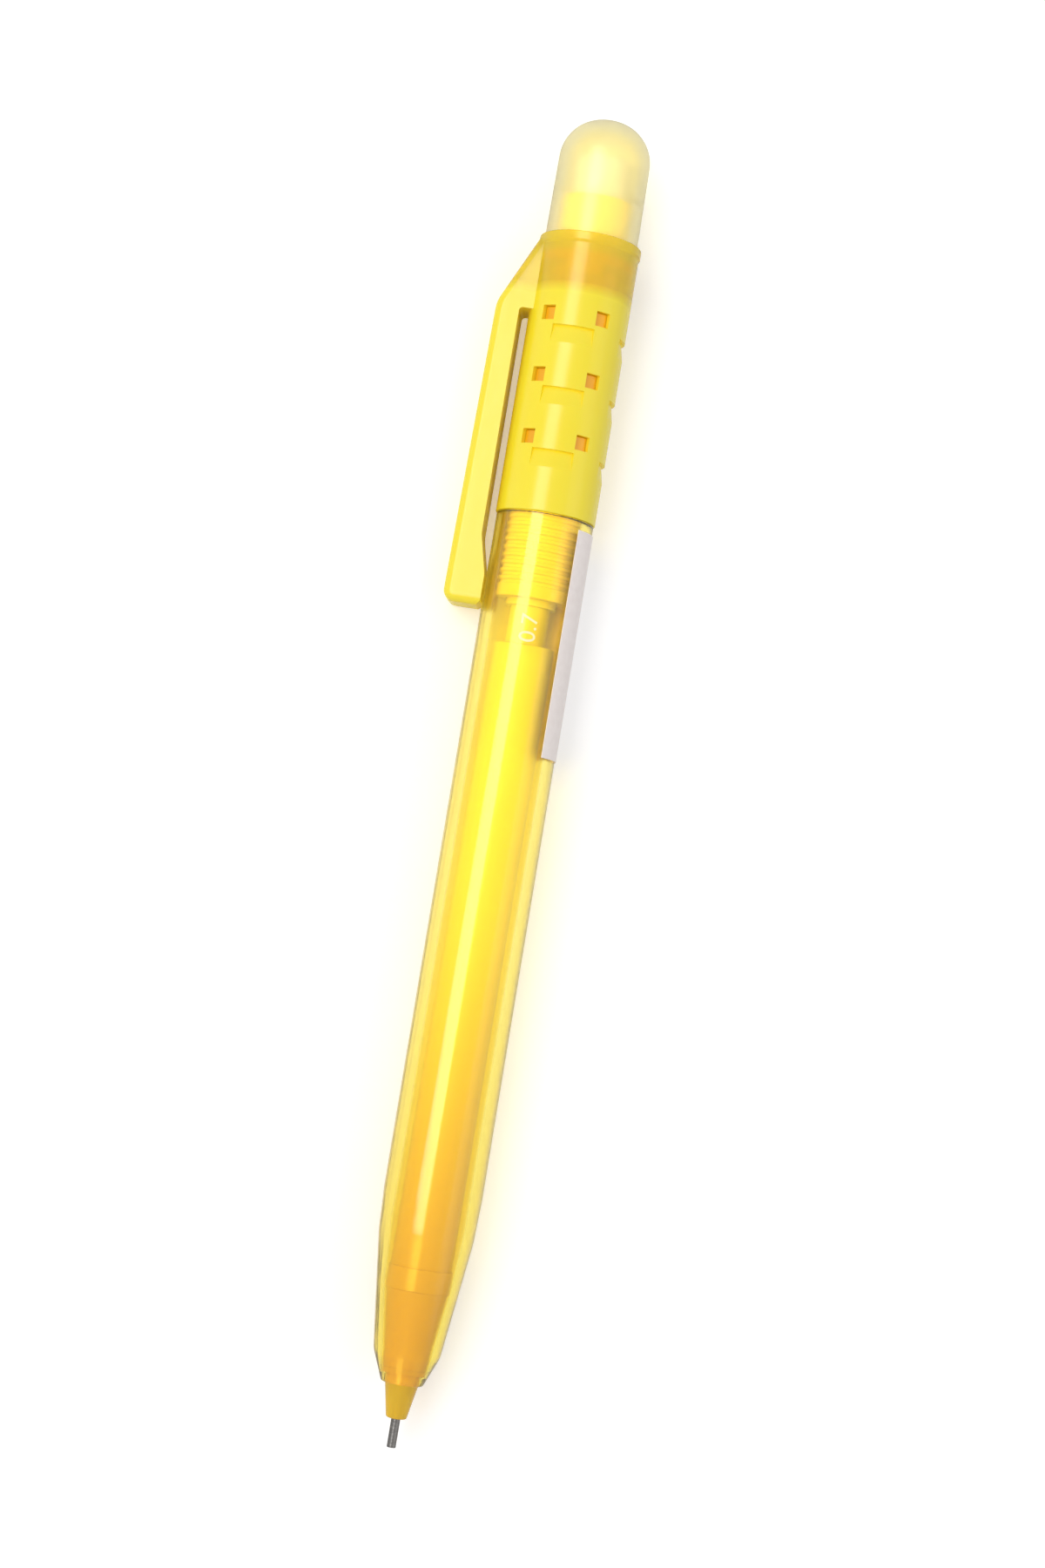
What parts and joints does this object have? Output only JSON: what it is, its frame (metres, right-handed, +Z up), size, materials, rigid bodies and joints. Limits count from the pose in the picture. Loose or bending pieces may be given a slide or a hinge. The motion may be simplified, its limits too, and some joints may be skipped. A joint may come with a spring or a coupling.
{
  "type": "mechanical pencil",
  "caption": "Push-button mechanical pencil with a clear barrel, pocket clip, domed cap over an eraser, and a sprung lead clutch inside.",
  "frame": {"origin": "mouth of the lead pipe, on the pencil's axis", "axes": "+X along the pencil's axis from the tip to the cap; +Z up as the pencil lies on a table on its sleeve and clip; the clip leans down towards +Y"},
  "size_m": [0.145, 0.0151, 0.0112],
  "materials": {
    "clear_yellow": "transparent gloss",
    "bright_yellow": "translucent gloss",
    "clear_pale": "transparent gloss",
    "white_vinyl": "matte",
    "amber": "gloss",
    "tube_yellow": "translucent",
    "amber_housing": "gloss",
    "amber_cone": "gloss",
    "chuck_plastic": "satin",
    "ring_brass": "turned",
    "spring_steel": "drawn wire",
    "pipe_steel": "drawn tube",
    "retainer_rubber": "matte",
    "graphite": "graphite sheen",
    "label_paper": "matte"
  },
  "bodies": {
    "barrel": {"barrel": "clear_yellow", "clip_sleeve": "bright_yellow", "nose_cone": "amber_cone", "lead_pipe": "pipe_steel", "lead_retainer": "retainer_rubber", "chuck_housing": "amber_housing", "return_spring": "spring_steel", "price_label": "label_paper"},
    "push": {"eraser_holder": "amber", "lead_tube": "tube_yellow", "chuck": "chuck_plastic", "spare_leads": "graphite"},
    "ring": {"chuck_ring": "ring_brass"},
    "lead": {"lead": "graphite"},
    "cap": {"push_cap": "clear_pale"},
    "eraser": {"eraser": "white_vinyl"}
  },
  "joints": [
    {"name": "push_button", "type": "slide", "parent": "barrel", "child": "push", "axis": [-1, 0, 0], "range_m": [0, 0.0035], "stiffness_N_per_m": 450, "springref_m": -0.008, "deforming": ["return_spring"]},
    {"name": "ring_slide", "type": "slide", "parent": "barrel", "child": "ring", "axis": [-1, 0, 0], "range_m": [0, 0.0015]},
    {"name": "lead_feed", "type": "slide", "parent": "barrel", "child": "lead", "axis": [-1, 0, 0], "range_m": [0, 0.01]},
    {"name": "cap_pull", "type": "slide", "parent": "push", "child": "cap", "axis": [1, 0, 0], "range_m": [0, 0.016]},
    {"name": "eraser_pull", "type": "slide", "parent": "push", "child": "eraser", "axis": [1, 0, 0], "range_m": [0, 0.008]}
  ],
  "couplings": [
    {"joint": "ring_slide", "follows": "push_button", "ratio": 0.42857},
    {"joint": "eraser_pull", "follows": "cap_pull", "ratio": 0.5}
  ]
}
